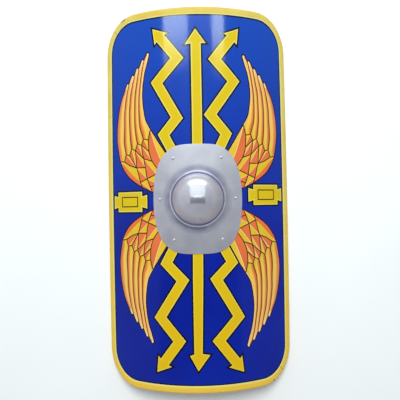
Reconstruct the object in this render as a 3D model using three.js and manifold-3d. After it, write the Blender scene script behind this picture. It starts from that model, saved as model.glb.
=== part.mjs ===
// Roman scutum shield: a curved painted board with a metal edging, a domed boss plate, rivets and a hand grip.
// Millimetres, +Z up. The shield lies on its two long edges with the boss upwards; +Y is its top edge.

import * as THREE from 'three';
import { mergeVertices } from 'three/addons/utils/BufferGeometryUtils.js';
import Module from 'manifold-3d';

// Whole shield, measured over the edging
const shieldHeight = 1070;
const shieldArc = 578; // around the curve
const cornerRadius = 104;
const sideBow = 5; // how far the long sides pull in at their ends
const endBow = 6; // how far the top and bottom edges pull in at their ends
const faceRadius = 408; // bend radius of the painted face

// Board
const boardThickness = 9;
const handHoleRadius = 62;

// Edging, a U of folded sheet round the board's edge
const edgingSheet = 1.5;
const edgingFront = 22.5;
const edgingBack = 18;
const edgingJoint = 1.2; // the slit where the two strips meet

// Boss plate, one pressed sheet
const bossSheet = 2;
const bossWidth = 248;
const bossHeight = 304;
const bossSquareness = 4; // exponent of the superellipse outline, 2 being an ellipse
const bossBow = 0.2; // share by which the plate's sides pull in at their ends
const domeRadius = 71.5;
const domeHeight = 68;
const beadWidth = 8;
const beadHeight = 3;

// Rivets
const rivetShank = 2.5;
const rivetHead = 4.6;
const rivetHeadHeight = 2.6;
const rivetPeenHeight = 1.3; // the hammered head at the back
const rivetCornerInset = 57; // of the corner rivets from the plate's sides
const rivetCornerDrop = 39; // and from its top and bottom edges
const rivetMiddleInset = 17;

// Hand grip, carved from one bar, its ends seated in the board's hollow back
const gripEndMargin = 25; // how far its ends run on past the middle rivets, around the curve
const gripWidth = 34;
const gripEndThickness = 12;
const gripBarLength = 124;
const gripBarThickness = 27;
const gripBarSetback = 9; // the bar's front below the board's back at the crown
const gripRounding = 4;

// Clearance between pieces that touch, and the fineness of the curves
const clearance = 0.3;
const holeClearance = 0.4; // round a rivet's shank
const cornerSteps = 8;
const endSteps = 18;
const sideSteps = 8;
const foldSteps = 4;
const bossSteps = 48;
const domeSteps = 7;
const flangeSteps = 6;
const beadSteps = 5;
const handHoleSides = 40;
const rivetSides = 10;
const drillSides = 12;
const gripArcSteps = 4;
const gripRoundingSteps = 3;

// Colours
const enamelBlue = 0x1c3fae;
const edgingYellow = 0xe4c33c;
const steelGrey = 0xaeb2c2;
const rivetGrey = 0xc3c6d2;
const gripWood = 0x8d6138;

const halfHeight = shieldHeight / 2;
const halfArc = shieldArc / 2;
const edgingWall = edgingSheet + clearance;
const boardBack = -boardThickness;
const foldCentre = edgingWall + boardThickness / 2;
const rivetCornerU = bossWidth / 2 - rivetCornerInset;
const rivetCornerV = bossHeight / 2 - rivetCornerDrop;
const rivetMiddleU = bossWidth / 2 - rivetMiddleInset;

const wasm = await Module();
wasm.setup();

// Places on the shield: u runs around the curve, v up the shield, b out of the painted face
function onCurve(u, v, b) {
  const angle = u / faceRadius;
  const radius = faceRadius + b;
  return new THREE.Vector3(radius * Math.sin(angle), v, radius * Math.cos(angle));
}

// The height of the curved surface b above the face, at a distance x from the middle
function curveHeight(x, b) {
  return Math.sqrt((faceRadius + b) ** 2 - x * x);
}

// Bends a point of the straight-sided outline to the slightly bowed one
function bowed(u, v) {
  const pullSide = 1 - (sideBow / halfArc) * (v / halfHeight) ** 2;
  const pullEnd = 1 - (endBow / halfHeight) * (u / halfArc) ** 2;
  return [u * pullSide, v * pullEnd];
}

// Replaces every vertex of a geometry by what a function makes of it
function mapVertices(geometry, place) {
  const position = geometry.attributes.position;
  const point = new THREE.Vector3();
  for (let i = 0; i < position.count; i++) {
    point.fromBufferAttribute(position, i);
    const moved = place(point);
    position.setXYZ(i, moved.x, moved.y, moved.z);
  }
  return geometry;
}

// One welded body with no flat triangles
function weld(geometry) {
  geometry.deleteAttribute('normal');
  geometry.deleteAttribute('uv');
  const merged = mergeVertices(geometry);
  const index = Array.from(merged.index.array);
  const kept = [];
  for (let i = 0; i < index.length; i += 3) {
    const [a, b, c] = index.slice(i, i + 3);
    if (a !== b && b !== c && c !== a) kept.push(a, b, c);
  }
  merged.setIndex(kept);
  return merged;
}

function toSolid(geometry) {
  const welded = weld(geometry);
  return new wasm.Manifold(new wasm.Mesh({
    numProp: 3,
    vertProperties: Float32Array.from(welded.attributes.position.array),
    triVerts: Uint32Array.from(welded.index.array),
  }));
}

function toGeometry(solid) {
  const mesh = solid.getMesh();
  const geometry = new THREE.BufferGeometry();
  geometry.setAttribute('position', new THREE.BufferAttribute(mesh.vertProperties, 3));
  geometry.setIndex(new THREE.BufferAttribute(mesh.triVerts, 1));
  return geometry;
}

function cutAll(geometry, cutters) {
  let solid = toSolid(geometry);
  for (const cutter of cutters) solid = solid.subtract(toSolid(cutter));
  return toGeometry(solid);
}

// Rivet places, with the two middle ones passing through the grip too
const rivets = [];
for (const [row, v] of [['top', rivetCornerV], ['middle', 0], ['bottom', -rivetCornerV]]) {
  for (const [column, side] of [['left', -1], ['right', 1]]) {
    const middle = row === 'middle';
    const u = side * (middle ? rivetMiddleU : rivetCornerU);
    const depth = boardThickness + (middle ? clearance + gripEndThickness : 0);
    rivets.push({ name: `rivet_${row}_${column}`, u, v, depth });
  }
}

// Turns an upright geometry to stand out of the shield's face at u, v
function standOnFace(geometry, u, v) {
  const place = onCurve(u, v, 0);
  geometry.rotateX(Math.PI / 2);
  geometry.rotateY(u / faceRadius);
  geometry.translate(place.x, place.y, place.z);
  return geometry;
}

function rivetHoles(chosen) {
  const length = 4 * (boardThickness + gripEndThickness);
  return chosen.map(({ u, v }) => {
    const radius = rivetShank + holeClearance;
    return standOnFace(new THREE.CylinderGeometry(radius, radius, length, drillSides), u, v);
  });
}

// Board: a box whose columns follow the corner arcs and whose edge is rounded over
function boardColumn(index) {
  const columns = endSteps + 2 * cornerSteps;
  const straight = halfArc - cornerRadius;
  if (index < cornerSteps) {
    const angle = (Math.PI / 2) * (1 - index / cornerSteps);
    return { u: -straight, side: -Math.sin(angle), up: Math.cos(angle) };
  }
  if (index > columns - cornerSteps) {
    const angle = (Math.PI / 2) * (1 - (columns - index) / cornerSteps);
    return { u: straight, side: Math.sin(angle), up: Math.cos(angle) };
  }
  return { u: straight * (2 * (index - cornerSteps) / endSteps - 1), side: 0, up: 1 };
}

function boardGeometry() {
  const columns = endSteps + 2 * cornerSteps;
  const box = new THREE.BoxGeometry(1, 1, 1, columns, sideSteps, foldSteps);
  mapVertices(box, ({ x, y, z }) => {
    const column = boardColumn(Math.round((x + 0.5) * columns));
    const roll = z * Math.PI;
    const inset = foldCentre - (boardThickness / 2) * Math.cos(roll);
    const b = (boardThickness / 2) * (Math.sin(roll) - 1);
    const corner = cornerRadius - inset;
    const u = column.u + corner * column.side;
    const v = 2 * y * (halfHeight - cornerRadius + corner * column.up);
    return onCurve(...bowed(u, v), b);
  });
  const handHole = new THREE.CylinderGeometry(handHoleRadius, handHoleRadius, 4 * faceRadius, handHoleSides);
  handHole.rotateX(Math.PI / 2);
  return cutAll(box, [handHole, ...rivetHoles(rivets)]);
}

// Edging: the stations of one strip, from the bottom right corner up the right side and over the top
function edgingStations() {
  const straightU = halfArc - cornerRadius;
  const straightV = halfHeight - cornerRadius;
  const slit = edgingJoint / 2 / cornerRadius;
  const stations = [];
  const addCorner = (u, v, from, to, steps) => {
    for (let i = 0; i <= steps; i++) {
      const angle = from + (to - from) * (i / steps);
      stations.push({ u, v, nu: Math.cos(angle), nv: Math.sin(angle) });
    }
  };
  addCorner(straightU, -straightV, -0.25 * Math.PI + slit, 0, cornerSteps / 2);
  for (let i = 1; i < sideSteps; i++) {
    stations.push({ u: straightU, v: straightV * (2 * i / sideSteps - 1), nu: 1, nv: 0 });
  }
  addCorner(straightU, straightV, 0, 0.5 * Math.PI, cornerSteps);
  for (let i = 1; i < endSteps; i++) {
    stations.push({ u: straightU * (1 - 2 * i / endSteps), v: straightV, nu: 0, nv: 1 });
  }
  addCorner(-straightU, straightV, 0.5 * Math.PI, 0.75 * Math.PI - slit, cornerSteps / 2);
  return stations;
}

// Edging: the section of the U, x inwards from the outer edge and y out of the painted face
function edgingSection() {
  const shape = new THREE.Shape();
  const middle = -boardThickness / 2;
  const fold = (radius, from, to) => {
    for (let i = 0; i <= foldSteps; i++) {
      const angle = from + (to - from) * (i / foldSteps);
      shape.lineTo(foldCentre - radius * Math.cos(angle), middle + radius * Math.sin(angle));
    }
  };
  shape.moveTo(edgingFront, edgingWall);
  fold(foldCentre, Math.PI / 2, -Math.PI / 2);
  shape.lineTo(edgingBack, boardBack - edgingWall);
  shape.lineTo(edgingBack, boardBack - clearance);
  fold(foldCentre - edgingSheet, -Math.PI / 2, Math.PI / 2);
  shape.lineTo(edgingFront, clearance);
  return shape;
}

function edgingGeometry(turn) {
  const stations = edgingStations();
  const steps = stations.length - 1;
  const strip = new THREE.ExtrudeGeometry(edgingSection(), { steps, depth: steps, bevelEnabled: false });
  mapVertices(strip, ({ x, y, z }) => {
    const station = stations[Math.round(z)];
    const reach = cornerRadius - x;
    const u = turn * (station.u + reach * station.nu);
    const v = turn * (station.v + reach * station.nv);
    return onCurve(...bowed(u, v), y);
  });
  return weld(strip);
}

// Boss: a lathe turned dome, bead and flange, the flange drawn out to the plate's outline and all bent to the board
const beadRadius = domeRadius + beadWidth;
const flangeBase = clearance + bossSheet;

function plateReach(across, along) {
  const x = Math.abs(across) / (bossWidth / 2);
  const y = Math.abs(along) / (bossHeight / 2);
  return (x ** bossSquareness + y ** bossSquareness) ** (-1 / bossSquareness);
}

// Heights are counted from the flange's outer face
function bossProfile() {
  const under = [];
  const over = [];
  for (let i = 0; i < domeSteps; i++) {
    const angle = (Math.PI / 2) * (i / domeSteps);
    const inner = domeRadius - bossSheet;
    under.push(new THREE.Vector2(inner * Math.sin(angle), (domeHeight - bossSheet) * Math.cos(angle)));
    over.push(new THREE.Vector2(domeRadius * Math.sin(angle), domeHeight * Math.cos(angle)));
  }
  under.push(new THREE.Vector2(domeRadius - bossSheet, -bossSheet));
  over.push(new THREE.Vector2(domeRadius, 0));
  for (let i = 1; i <= beadSteps; i++) {
    const share = i / beadSteps;
    over.push(new THREE.Vector2(domeRadius + share * beadWidth, beadHeight * Math.sin(share * Math.PI)));
  }
  under.push(new THREE.Vector2(beadRadius, -bossSheet));
  for (let i = 1; i <= flangeSteps; i++) {
    const radius = beadRadius + (bossHeight / 2 - beadRadius) * (i / flangeSteps);
    under.push(new THREE.Vector2(radius, -bossSheet));
    over.push(new THREE.Vector2(radius, 0));
  }
  return [...under, ...over.reverse()];
}

function bossGeometry() {
  const lathe = new THREE.LatheGeometry(bossProfile(), bossSteps);
  lathe.rotateX(Math.PI / 2);
  mapVertices(lathe, ({ x, y, z }) => {
    const radius = Math.hypot(x, y);
    const angle = Math.atan2(y, x);
    const across = Math.cos(angle);
    const along = Math.sin(angle);
    const share = Math.max(0, (radius - beadRadius) / (bossHeight / 2 - beadRadius));
    const reach = Math.min(radius, beadRadius) + share * (plateReach(across, along) - beadRadius);
    const narrowed = across * reach * (1 - share * bossBow * (along * reach / (bossHeight / 2)) ** 2);
    return new THREE.Vector3(narrowed, along * reach, curveHeight(narrowed, flangeBase + z));
  });
  return cutAll(lathe, rivetHoles(rivets));
}

// Rivet: a domed head in front, a shank through the pieces and a flatter peened head behind
function rivetGeometry({ u, v, depth }) {
  const front = flangeBase + clearance;
  const back = -depth - clearance;
  const points = [new THREE.Vector2(0, back - rivetPeenHeight)];
  points.push(new THREE.Vector2(rivetHead * 0.7, back - rivetPeenHeight * 0.8));
  points.push(new THREE.Vector2(rivetHead, back));
  points.push(new THREE.Vector2(rivetShank, back));
  points.push(new THREE.Vector2(rivetShank, front));
  for (const angle of [0, Math.PI / 6, Math.PI / 3]) {
    points.push(new THREE.Vector2(rivetHead * Math.cos(angle), front + rivetHeadHeight * Math.sin(angle)));
  }
  points.push(new THREE.Vector2(0, front + rivetHeadHeight));
  return weld(standOnFace(new THREE.LatheGeometry(points, rivetSides), u, v));
}

// Grip: its side outline, extruded along the shield's height, with rounded edges
function gripGeometry() {
  const seat = faceRadius + boardBack - clearance;
  const strap = seat - gripEndThickness;
  const barFront = faceRadius + boardBack - gripBarSetback;
  const barBack = barFront - gripBarThickness;
  const seatEnd = (rivetMiddleU + gripEndMargin) / faceRadius;
  const seatStart = (handHoleRadius + gripRounding) / faceRadius;
  const strapStart = (gripBarLength / 2 + gripBarThickness) / faceRadius;
  const shape = new THREE.Shape();
  const arc = (radius, from, to) => {
    for (let i = 0; i <= gripArcSteps; i++) {
      const angle = from + (to - from) * (i / gripArcSteps);
      shape.lineTo(radius * Math.sin(angle), radius * Math.cos(angle));
    }
  };
  shape.moveTo(-gripBarLength / 2, barBack);
  shape.lineTo(gripBarLength / 2, barBack);
  arc(strap, strapStart, seatEnd);
  arc(seat, seatEnd, seatStart);
  shape.lineTo(handHoleRadius - gripBarSetback, barFront);
  shape.lineTo(gripBarSetback - handHoleRadius, barFront);
  arc(seat, -seatStart, -seatEnd);
  arc(strap, -seatEnd, -strapStart);
  const flat = gripWidth - 2 * gripRounding;
  const bar = new THREE.ExtrudeGeometry(shape, {
    depth: flat,
    bevelEnabled: true,
    bevelThickness: gripRounding,
    bevelSize: gripRounding,
    bevelOffset: -gripRounding,
    bevelSegments: gripRoundingSteps,
  });
  bar.rotateX(Math.PI / 2);
  bar.translate(0, flat / 2, 0);
  return cutAll(bar, rivetHoles(rivets.filter(({ v }) => v === 0)));
}

function piece(name, geometry, color, roughness, metalness) {
  const material = new THREE.MeshStandardMaterial({ color, roughness, metalness });
  const mesh = new THREE.Mesh(geometry, material);
  mesh.name = name;
  return mesh;
}

const shield = new THREE.Group();
shield.add(piece('board', boardGeometry(), enamelBlue, 0.25, 0));
shield.add(piece('rim_edging_top_right', edgingGeometry(1), edgingYellow, 0.3, 0));
shield.add(piece('rim_edging_bottom_left', edgingGeometry(-1), edgingYellow, 0.3, 0));
shield.add(piece('boss', bossGeometry(), steelGrey, 0.3, 1));
for (const rivet of rivets) shield.add(piece(rivet.name, rivetGeometry(rivet), rivetGrey, 0.25, 1));
shield.add(piece('hand_grip', gripGeometry(), gripWood, 0.6, 0));

// The long edges rest at height zero
shield.position.z = -new THREE.Box3().setFromObject(shield).min.z;

export default shield;
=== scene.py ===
"""Roman scutum shield, dressed round its CAD frame: board, edging, boss, rivets and grip."""

import math

import bpy
from mathutils import Matrix, Vector
from mathutils.geometry import delaunay_2d_cdt


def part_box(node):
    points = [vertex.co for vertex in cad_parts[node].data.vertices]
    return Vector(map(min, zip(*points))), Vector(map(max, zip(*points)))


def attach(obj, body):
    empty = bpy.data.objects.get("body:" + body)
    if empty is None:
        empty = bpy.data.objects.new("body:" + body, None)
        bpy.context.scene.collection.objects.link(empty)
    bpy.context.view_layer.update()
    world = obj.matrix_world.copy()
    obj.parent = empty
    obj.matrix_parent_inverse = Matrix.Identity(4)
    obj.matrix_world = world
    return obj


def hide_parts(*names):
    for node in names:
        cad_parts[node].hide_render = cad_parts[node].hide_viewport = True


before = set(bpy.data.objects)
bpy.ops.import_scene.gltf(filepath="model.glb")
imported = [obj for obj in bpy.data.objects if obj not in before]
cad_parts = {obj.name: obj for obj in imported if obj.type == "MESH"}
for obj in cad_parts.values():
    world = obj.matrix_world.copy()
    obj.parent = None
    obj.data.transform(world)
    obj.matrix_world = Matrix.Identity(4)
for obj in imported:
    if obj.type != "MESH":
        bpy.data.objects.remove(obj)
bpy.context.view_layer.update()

# Sizes in millimetres, as in the part's source
MM = 0.001
FACE_RADIUS = 408
HALF_ARC = 289
HALF_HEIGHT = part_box("rim_edging_top_right")[1].y / MM
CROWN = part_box("board")[1].z / MM
CORNER_RADIUS = 104
SIDE_BOW = 5
END_BOW = 6
BOARD_THICKNESS = 9
HAND_HOLE_RADIUS = 62
EDGING_SHEET = 1.5
EDGING_FRONT = 22.5
EDGING_BACK = 18
EDGING_JOINT = 1.2
CLEARANCE = 0.3
EDGING_WALL = EDGING_SHEET + CLEARANCE
FOLD_CENTRE = EDGING_WALL + BOARD_THICKNESS / 2
BOSS_SHEET = 2
BOSS_HALF_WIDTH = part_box("boss")[1].x / MM
BOSS_HALF_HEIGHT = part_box("boss")[1].y / MM
BOSS_SQUARENESS = 4
BOSS_BOW = 0.2
DOME_RADIUS = 71.5
DOME_HEIGHT = 68
BEAD_WIDTH = 8
BEAD_HEIGHT = 3
BEAD_RADIUS = DOME_RADIUS + BEAD_WIDTH
FLANGE_BASE = CLEARANCE + BOSS_SHEET
RIVET_SHANK = 2.5
RIVET_HEAD = 4.6
RIVET_HEAD_HEIGHT = 2.6
RIVET_PEEN_HEIGHT = 1.3
GRIP_HALF_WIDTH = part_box("hand_grip")[1].y / MM
GRIP_END_THICKNESS = 12
GRIP_BAR_LENGTH = 124
GRIP_BAR_THICKNESS = 27
GRIP_BAR_SETBACK = 9
PLY_THICKNESS = 1.5

# How finely the outline, the hand hole and the faces between them are cut, in steps and millimetres
CORNER_STEPS = 20
SIDE_STEPS = 24
HOLE_STEPS = 64
GRID_ACROSS = 6.0
GRID_ALONG = 30.0
MITRE_LIMIT = 0.4

# Colours as they show in daylight, red, green and blue out of 255
BLUE = (4, 32, 152)
BLUE_DEEP = (2, 26, 140)
# Painted light: the blue made lighter and greener at the top, as if lit from above
BLUE_LIT_TOP = (16, 70, 176)
# Painted shadow on the board beside the edging's lip
EDGING_SHADOW_BLUE = (8, 22, 52)
BLACK = (6, 6, 14)
BLACK_WARM = (6, 6, 10)
PLUM = (44, 6, 22)
UMBER = (52, 30, 6)
BROWN = (78, 30, 8)
BROWN_DEEP = (66, 22, 6)
OCHRE_BROWN = (118, 54, 6)
# Yellows for the upper half and the bottom edge; the change between them is painted light, as if lit from
# above
YELLOW = (214, 187, 24)
YELLOW_LOW = (226, 182, 20)
YELLOW_PALE = (222, 212, 124)
YELLOW_PALE_LOW = (228, 196, 70)
SUN_YELLOW = (226, 188, 40)
LIGHT_YELLOW = (242, 194, 84)
DEEP_YELLOW = (196, 148, 48)
ORANGE = (230, 114, 62)
AMBER = (216, 108, 52)
SALMON = (212, 124, 62)
ROSE = (226, 130, 104)
PEACH = (246, 188, 106)
CREAM = (244, 214, 156)
PINK_WHITE = (240, 216, 216)
GOLD = (222, 198, 102)
# Painted light: the edging's deeper colour towards the bottom edge, as if less lit there
GOLD_LOW = (236, 192, 62)
GOLD_DEEP = (214, 186, 80)
# Painted highlight on the edging's front lip
LIP_HIGHLIGHT = (232, 232, 166)
CHIP_DARK = (88, 70, 34)
STEEL = (244, 242, 250)
STEEL_DARK = (230, 228, 240)
# Painted shade on the boss: round the outside of its bead and in the groove at the dome's foot
STEEL_BEAD_SHADE = (124, 124, 166)
STEEL_GROOVE_SHADE = (100, 98, 140)
WOOD = (196, 152, 98)
WOOD_DARK = (150, 104, 60)
GRIP_WOOD = (132, 84, 46)
GRIP_WOOD_DARK = (84, 48, 24)
FLOOR_PALE = (253, 253, 253)
FLOOR_SHADE = (250, 250, 250)


def linear(colour):
    """A colour out of 255 as Blender's shaders take it."""
    def channel(value):
        share = value / 255
        return share / 12.92 if share <= 0.04045 else ((share + 0.055) / 1.055) ** 2.4
    return (*[channel(value) for value in colour], 1.0)


# Places on the shield: u runs round the curve, v up the shield, b out of the painted face
def on_face(u, v, b=0.0):
    angle = u / FACE_RADIUS
    radius = FACE_RADIUS + b
    return Vector((radius * math.sin(angle), v, radius * math.cos(angle) - FACE_RADIUS + CROWN)) * MM


def out_of_face(u):
    return Vector((math.sin(u / FACE_RADIUS), 0, math.cos(u / FACE_RADIUS)))


def curve_height(x, b):
    return math.sqrt((FACE_RADIUS + b) ** 2 - x * x) - FACE_RADIUS + CROWN


def bowed(u, v):
    pull_side = 1 - (SIDE_BOW / HALF_ARC) * (v / HALF_HEIGHT) ** 2
    pull_end = 1 - (END_BOW / HALF_HEIGHT) * (u / HALF_ARC) ** 2
    return u * pull_side, v * pull_end


def steps(start, end, count):
    """count + 1 values from start to end."""
    return [start + (end - start) * i / count for i in range(count + 1)]


def shield_outline(inset):
    """The shield's outline, inset from its outer edge, counter-clockwise."""
    straight_u = HALF_ARC - CORNER_RADIUS
    straight_v = HALF_HEIGHT - CORNER_RADIUS
    radius = CORNER_RADIUS - inset
    corners = [(1, 1), (-1, 1), (-1, -1), (1, -1)]
    ways_on = [(-1, 0), (0, -1), (1, 0), (0, 1)]
    points = []
    for turn, ((side, end), way_on) in enumerate(zip(corners, ways_on)):
        for angle in steps(turn * math.pi / 2, (turn + 1) * math.pi / 2, CORNER_STEPS):
            u = side * straight_u + radius * math.cos(angle)
            v = end * straight_v + radius * math.sin(angle)
            points.append((u, v))
        reach = straight_u if turn % 2 == 0 else straight_v
        last = Vector(points[-1])
        for share in steps(0, 1, SIDE_STEPS)[1:-1]:
            points.append(tuple(last + Vector(way_on) * (2 * reach * share)))
    return [bowed(u, v) for u, v in points]


# Drawing in the flat
def area(polygon):
    return sum(a[0] * b[1] - b[0] * a[1] for a, b in zip(polygon, polygon[1:] + polygon[:1])) / 2


def smooth(points, count=6):
    """A smooth line through the points, as a Catmull-Rom spline."""
    known = [Vector(point) for point in points]
    ends = [2 * known[0] - known[1], *known, 2 * known[-1] - known[-2]]
    line = []
    for a, b, c, d in zip(ends, ends[1:], ends[2:], ends[3:]):
        for t in steps(0, 1, count)[:-1]:
            cubic = 3 * b - a - 3 * c + d
            p = 0.5 * (2 * b + (c - a) * t + (2 * a - 5 * b + 4 * c - d) * t * t + cubic * t ** 3)
            line.append(tuple(p))
    return line + [tuple(points[-1])]


def mitre(before, at, after, distance):
    """The point at a distance to the right of a line that turns at a corner."""
    first = (Vector(at) - Vector(before)).normalized()
    second = (Vector(after) - Vector(at)).normalized()
    normal = Vector((first.y + second.y, -first.x - second.x))
    if normal.length < 1e-6:
        normal = Vector((first.y, -first.x))
    normal.normalize()
    lean = max(MITRE_LIMIT, normal.dot(Vector((first.y, -first.x))))
    return tuple(Vector(at) + normal * (distance / lean))


def grown(polygon, distance):
    """A counter-clockwise polygon with its edge moved outwards."""
    count = len(polygon)
    return [mitre(polygon[i - 1], polygon[i], polygon[(i + 1) % count], distance) for i in range(count)]


def stroke(points, start_width, end_width=None):
    """A line of paint with square ends, as a polygon."""
    end_width = start_width if end_width is None else end_width
    first = 2 * Vector(points[0]) - Vector(points[1])
    last = 2 * Vector(points[-1]) - Vector(points[-2])
    line = [tuple(first), *points, tuple(last)]
    widths = steps(start_width, end_width, len(points) - 1)
    right = [mitre(line[i], line[i + 1], line[i + 2], widths[i] / 2) for i in range(len(points))]
    left = [mitre(line[i], line[i + 1], line[i + 2], -widths[i] / 2) for i in range(len(points))]
    return right + left[::-1]


class Picture:
    """Paint laid in the flat, layer upon layer, each a polygon in one paint."""

    def __init__(self):
        self.polygons = []
        self.paints = []
        self.feathers = []

    def lay(self, paint, polygon, feather=None):
        if area(polygon) < 0:
            polygon = polygon[::-1]
        self.polygons.append(polygon)
        self.paints.append(paint)
        self.feathers.append(feather)

    def triangles(self, across, along):
        """Cuts the layers into triangles, each with the number of its top layer."""
        points = []
        faces = []
        for polygon in self.polygons:
            faces.append(list(range(len(points), len(points) + len(polygon))))
            points.extend(Vector(p) for p in polygon)
        edges = []
        low_u = min(p.x for p in points) - 1
        low_v = min(p.y for p in points) - 1
        for u in steps(low_u, -low_u, round(-2 * low_u / across))[1:-1]:
            edges.append((len(points), len(points) + 1))
            points.extend([Vector((u, low_v)), Vector((u, -low_v))])
        for v in steps(low_v, -low_v, round(-2 * low_v / along))[1:-1]:
            edges.append((len(points), len(points) + 1))
            points.extend([Vector((low_u, v)), Vector((-low_u, v))])
        places, _, found, _, _, layers = delaunay_2d_cdt(points, edges, faces, 1, 0.01, True)
        kept = []
        for triangle, under in zip(found, layers):
            if not under:
                continue
            top = max(under)
            if self.paints[top] is not None:
                kept.append((triangle, top))
        return places, kept


# The painted picture
LINE = 4.6
PALE_EDGE = 2.8
WING_LINE = 3.6
FEATHER_PALE_WIDTH = 2.0
FEATHER_ROSE_WIDTH = 4.0
SPLIT_WIDTHS = (1.2, 2.6)
CELL_PALE_WIDTH = 1.4
DIVIDE_WIDTHS = (3.0, 3.2)
COVERT_LINE_WIDTH = 2.9
TABLET_LINE = 3
LIP_SHADE_UNDER = 3  # how far the painted shadow beside the edging's lip reaches under it
LIP_SHADE_WIDTH = 3.2
BOLT_WIDTH = 28
HEAD_LENGTH = 39
HEAD_HALF_WIDTH = 24

# Middle lines of the four thunderbolts, from under the boss to the tip
BOLTS = [
    [(-58, 115), (-93, 180), (-54, 226), (-111, 327), (-51, 393), (-121, 480)],
    [(52, 117), (83, 179), (39, 233), (107, 327), (54, 388), (124, 476)],
    [(-58, -117), (-91, -177), (-45, -225), (-111, -327), (-57, -392), (-123, -479)],
    [(60, -117), (93, -177), (48, -223), (110, -328), (52, -392), (122, -482)],
]

# The arrows that run up and down from under the boss
ARROWS = [
    [(1, 473), (-29, 429), (-12, 432), (-12, 218), (-13, 93), (15, 93), (16, 218), (16, 432), (30, 432)],
    [
        (-6, -473), (27, -429), (6, -426), (11, -223), (13, -87), (-15, -87), (-17, -223), (-17, -427),
        (-29, -431),
    ],
]

# One wing as drawn at the upper right, inner side first; the others mirror it
WING_TIPS = [(138, 409), (154, 392), (171, 371), (187, 353), (205, 331)]
WING_INNER = [
    (134.5, 405), (137, 397), (142, 380), (149, 359), (154, 335), (157, 312), (158, 290), (156, 262),
    (149, 225), (134, 197),
]
NOTCH = 12  # where the smoothed first dividing line passes the second feather's tip
CAP_HALF_WIDTH = 2
CAP_LENGTH = 1.4
WING_DIVIDES = [
    [
        (141.5, 405), (145.5, 398), (151, 386), (159.5, 350), (164, 322), (168, 293), (169, 248), (167, 210),
        (159, 183), (156, 173),
    ],
    [(167, 367), (176, 323), (181, 295), (183, 249), (183, 212), (179, 178), (175, 161)],
    [(182, 350), (189, 325), (196, 297), (201, 251), (201, 213), (199, 173), (195, 148)],
    [(201, 328), (210, 299), (218, 253), (219, 215), (221, 168), (215, 132)],
]
WING_OUTER = [(214, 316), (232, 277), (243, 230), (247, 183), (243, 149), (236, 114)]
WING_ROOT = [(236, 114), (227, 96), (208, 72), (186, 55), (163, 42), (132, 28), (104, 22)]
SHOULDER = [(134, 197), (140, 170), (140, 150), (138, 132), (130, 110), (113, 87), (92, 70)]
SHOULDER_SPLIT = [(134, 197), (124, 164), (114, 136), (103, 110), (88, 84)]
SHOULDER_INNER = [(134, 197), (113, 164), (92, 132), (74, 106)]
COVERT = {
    "1 outer": (156, 173), "1 inner": (141, 170),
    "2 outer": (175, 161), "2 inner": (162, 156),
    "3 outer": (195, 148), "3 inner": (183, 142),
    "4 outer": (215, 132), "4 inner": (203, 129),
    "5 outer": (236, 114), "5 inner": (222, 112),
    "shoulder a": (139, 137), "shoulder b": (130, 109), "shoulder c": (113, 87), "shoulder d": (92, 70),
    "e1": (160, 133), "e2": (155, 117), "e3": (151, 93), "e4": (146, 62), "e5": (137, 40), "e6": (131, 27),
    "f1": (180, 114), "f2": (179, 93), "f3": (175, 81), "f4": (167, 53), "f5": (162, 41),
    "d1": (201, 100), "g1": (118, 74), "h1": (112, 46), "root": (104, 22),
    "rim a": (227, 96), "rim b": (208, 72), "rim c": (186, 55),
    "band a": (225, 104), "band b": (203, 83), "band c": (184, 66), "band d": (167, 54),
}
# Covert feathers: the whole cell, and its yellow part
CELLS = [
    ("1 inner,1 outer,2 inner,shoulder a", "1 inner,1 outer,shoulder a"),
    ("2 inner,shoulder a,shoulder b,e2,e1", "2 inner,shoulder a,shoulder b"),
    ("2 outer,2 inner,e1,e2,3 inner", "2 outer,2 inner,e1,e2"),
    ("3 inner,e2,e3,f2,f1", "3 inner,e2,e3"),
    ("3 outer,3 inner,f1,f2,4 inner", "3 outer,3 inner,f1,f2"),
    ("4 outer,4 inner,f2,d1,5 inner", "4 outer,4 inner,f2"),
    ("e2,shoulder b,shoulder c,g1,e4,e3", "e2,shoulder b,shoulder c,g1"),
    ("f2,e3,e4,f4,f3", "f2,e3,e4"),
    (
        "5 outer,5 inner,d1,f2,f3,f4,f5,rim c,rim b,rim a",
        "5 outer,5 inner,d1,f2,f3,f4,band d,band c,band b,band a",
    ),
    ("f4,e4,e5,e6,f5", "f4,e4,e5,e6"),
    ("e4,g1,shoulder d,h1,e5", "e4,g1,shoulder d,h1"),
    ("e5,h1,root,e6", "e5,h1"),
]
COVERT_LINES = [
    "1 outer,1 inner", "1 outer,2 inner,2 outer,3 inner,3 outer,4 inner,4 outer,5 inner,5 outer",
    "2 inner,shoulder a", "3 inner,e2,shoulder b", "4 inner,f2", "5 inner,d1,f2,e3",
    "2 inner,e1,e2,e3,e4,e5,e6", "3 inner,f1,f2,f3,f4,f5", "f4,e4,g1", "e5,h1",
]
# Each painted wing: its side and end, how far it strays along the shield from the common one at four
# stations from its root to its tips, how far it drifts sideways, and its breadth beside the common one,
# measured from the hinge
WING_HINGE = 150
WING_STATIONS = (30, 110, 197, 407)
WINGS = [
    (-1, 1, (-4, -1, -1, 5), 1.5, 1.0),
    (1, 1, (3, 5.5, 8, -6), 0.3, 0.985),
    (-1, -1, (3, 0, -2.5, -9), 2.7, 0.965),
    (1, -1, (7, 13, 10, 5.5), -0.6, 1.01),
]

TABLET_CENTRE_U = 203.5
TABLETS = [(-1, -5), (1, 9)]
TABLET_BODY = (42, 28.5)
TABLET_EAR = (16, 19.5, 15)
TABLET_INNER = (27, 13.5)


def head(tip, direction):
    """An arrowhead's two barbs and its neck's middle."""
    base = Vector(tip) - direction * HEAD_LENGTH
    side = Vector((direction.y, -direction.x))
    return tuple(base + side * HEAD_HALF_WIDTH), tuple(base - side * HEAD_HALF_WIDTH), base


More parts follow.
